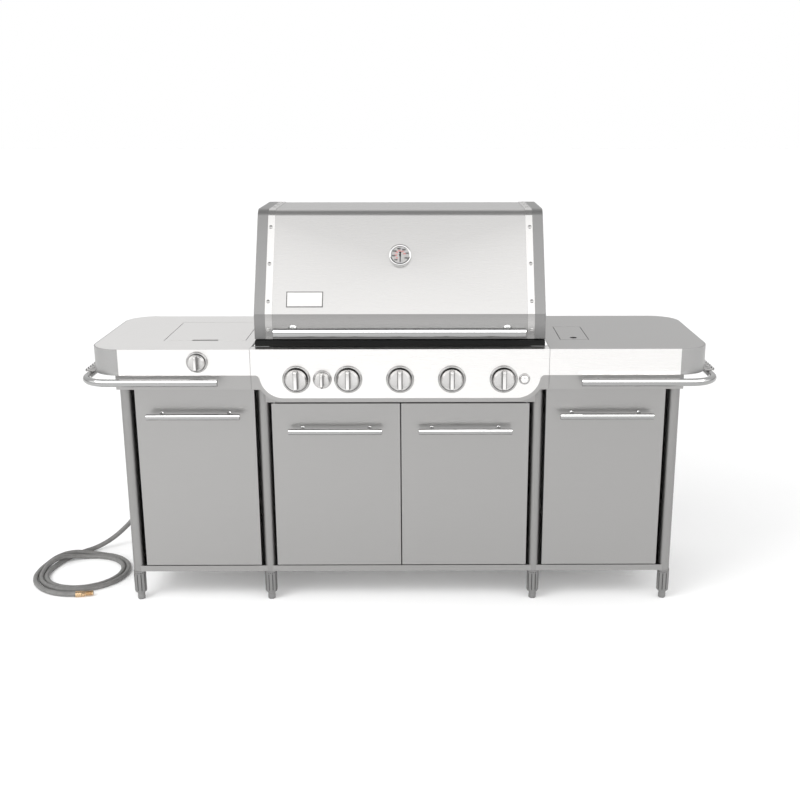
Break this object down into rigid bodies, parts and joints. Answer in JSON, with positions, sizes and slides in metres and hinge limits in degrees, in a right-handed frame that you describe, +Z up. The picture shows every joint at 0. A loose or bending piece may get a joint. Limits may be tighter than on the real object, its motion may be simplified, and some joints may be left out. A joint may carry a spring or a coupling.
{
  "type": "gas barbecue grill",
  "caption": "Hooded gas barbecue grill centre with side tables, a side burner under a flush cover, cabinet doors, towel rails and a coiled gas hose.",
  "frame": {"origin": "on the floor at the centre of the grill's own bounding box, without the gas hose", "axes": "+X to the right along the tables seen from the front, +Y to the back, +Z up"},
  "size_m": [2.4535, 0.6316, 1.347],
  "materials": {
    "leg_tube": "satin",
    "sleeve": "fluted casting",
    "foot": "matte",
    "frame_steel": "satin",
    "cabinet_sheet": "brushed",
    "pin_steel": "polished",
    "table_steel": "brushed",
    "casting": "satin casting",
    "bright_steel": "fine brushed",
    "rail_chrome": "polished",
    "comb_metal": "satin",
    "bowl_steel": "satin",
    "burner_iron": "enamelled",
    "cookbox_enamel": "porcelain enamel",
    "burner_steel": "satin",
    "rack_wire": "polished",
    "manifold_steel": "plain",
    "valve_brass": "plain",
    "bezel_metal": "satin",
    "door_steel": "brushed",
    "knob_metal": "satin",
    "button_metal": "satin",
    "lid_steel": "brushed",
    "trim_steel": "polished",
    "plate_metal": "satin",
    "gauge_chrome": "polished",
    "needle_black": "matte",
    "inlet_metal": "satin",
    "hose_rubber": "matte",
    "fitting_brass": "bright"
  },
  "bodies": {
    "cabinet": {"legs": "leg_tube", "leg_sleeves": "sleeve", "levelling_feet": "foot", "frame_rails": "frame_steel", "cabinet_floors": "cabinet_sheet", "cabinet_walls": "cabinet_sheet", "front_aprons": "cabinet_sheet", "door_pivot_pins": "pin_steel", "left_table_top": "table_steel", "right_table_top": "table_steel", "table_end_castings": "casting", "front_fascias": "bright_steel", "side_rails": "rail_chrome", "hook_combs": "comb_metal", "side_burner_bowl": "bowl_steel", "side_burner_head": "burner_iron", "side_burner_grate": "burner_iron", "storage_well": "bowl_steel", "cookbox": "cookbox_enamel", "burner_tubes": "burner_steel", "heat_deflectors": "burner_steel", "cooking_grates": "burner_iron", "warming_rack": "rack_wire", "grease_tray": "bowl_steel", "lid_hinge_brackets": "cookbox_enamel", "control_panel": "bright_steel", "panel_skirt": "cabinet_sheet", "gas_manifold": "manifold_steel", "gas_valves": "valve_brass", "knob_bezels": "bezel_metal", "gas_inlet": "inlet_metal", "gas_hose": "hose_rubber", "hose_coil": "hose_rubber", "hose_fitting": "fitting_brass"},
    "lid": {"lid_panel": "lid_steel", "lid_end_caps": "casting", "lid_trim_strips": "trim_steel", "lid_handle": "rail_chrome", "lid_hinge_leaves": "cookbox_enamel", "name_plate": "plate_metal", "thermometer_case": "gauge_chrome"},
    "gauge_needle": {"thermometer_needle": "needle_black"},
    "left_side_door": {"left_side_door": "door_steel", "left_side_handle": "rail_chrome"},
    "left_middle_door": {"left_middle_door": "door_steel", "left_middle_handle": "rail_chrome"},
    "right_middle_door": {"right_middle_door": "door_steel", "right_middle_handle": "rail_chrome"},
    "right_side_door": {"right_side_door": "door_steel", "right_side_handle": "rail_chrome"},
    "knob_1": {"knob_1": "knob_metal"},
    "knob_2": {"knob_2": "knob_metal"},
    "knob_3": {"knob_3": "knob_metal"},
    "knob_4": {"knob_4": "knob_metal"},
    "knob_5": {"knob_5": "knob_metal"},
    "small_knob": {"small_knob": "knob_metal"},
    "side_knob": {"side_knob": "knob_metal"},
    "igniter_button": {"igniter_button": "button_metal"},
    "side_burner_cover": {"side_burner_cover": "table_steel"},
    "storage_cover": {"storage_cover": "table_steel"}
  },
  "joints": [
    {"name": "lid_hinge", "type": "hinge", "parent": "cabinet", "child": "lid", "pos_m": [0, 0.27875, 0.925], "axis": [-1, 0, 0], "range_deg": [0, 85]},
    {"name": "gauge_needle_turn", "type": "hinge", "parent": "lid", "child": "gauge_needle", "pos_m": [0, -0.10406, 1.197], "axis": [0, 0.866, -0.5], "range_deg": [0, 300], "stiffness_Nm_per_rad": 0.0001},
    {"name": "left_side_door_hinge", "type": "hinge", "parent": "cabinet", "child": "left_side_door", "pos_m": [-0.499, -0.22325, 0.45], "axis": [0, 0, 1], "range_deg": [0, 85]},
    {"name": "left_middle_door_hinge", "type": "hinge", "parent": "cabinet", "child": "left_middle_door", "pos_m": [-0.425, -0.22325, 0.43], "axis": [0, 0, -1], "range_deg": [0, 90]},
    {"name": "right_middle_door_hinge", "type": "hinge", "parent": "cabinet", "child": "right_middle_door", "pos_m": [0.425, -0.22325, 0.43], "axis": [0, 0, 1], "range_deg": [0, 90]},
    {"name": "right_side_door_hinge", "type": "hinge", "parent": "cabinet", "child": "right_side_door", "pos_m": [0.499, -0.22325, 0.45], "axis": [0, 0, -1], "range_deg": [0, 85]},
    {"name": "knob_1_turn", "type": "hinge", "parent": "cabinet", "child": "knob_1", "pos_m": [-0.343, -0.28625, 0.813], "axis": [0, -1, 0], "range_deg": [0, 225]},
    {"name": "knob_2_turn", "type": "hinge", "parent": "cabinet", "child": "knob_2", "pos_m": [-0.1715, -0.28625, 0.813], "axis": [0, -1, 0], "range_deg": [0, 225]},
    {"name": "knob_3_turn", "type": "hinge", "parent": "cabinet", "child": "knob_3", "pos_m": [0, -0.28625, 0.813], "axis": [0, -1, 0], "range_deg": [0, 225]},
    {"name": "knob_4_turn", "type": "hinge", "parent": "cabinet", "child": "knob_4", "pos_m": [0.1715, -0.28625, 0.813], "axis": [0, -1, 0], "range_deg": [0, 225]},
    {"name": "knob_5_turn", "type": "hinge", "parent": "cabinet", "child": "knob_5", "pos_m": [0.343, -0.28625, 0.813], "axis": [0, -1, 0], "range_deg": [0, 225]},
    {"name": "small_knob_turn", "type": "hinge", "parent": "cabinet", "child": "small_knob", "pos_m": [-0.25725, -0.28625, 0.813], "axis": [0, -1, 0], "range_deg": [0, 225]},
    {"name": "side_knob_turn", "type": "hinge", "parent": "cabinet", "child": "side_knob", "pos_m": [-0.668, -0.28625, 0.872], "axis": [0, -1, 0], "range_deg": [0, 225]},
    {"name": "igniter_press", "type": "slide", "parent": "cabinet", "child": "igniter_button", "axis": [0, 1, 0], "range_m": [0, 0.004], "stiffness_N_per_m": 400, "springref_m": -0.002},
    {"name": "side_burner_cover_hinge", "type": "hinge", "parent": "cabinet", "child": "side_burner_cover", "pos_m": [-0.667, 0.18875, 0.9125], "axis": [-1, 0, 0], "range_deg": [0, 95]},
    {"name": "storage_cover_hinge", "type": "hinge", "parent": "cabinet", "child": "storage_cover", "pos_m": [0.5945, 0.10075, 0.9125], "axis": [-1, 0, 0], "range_deg": [0, 95]}
  ]
}
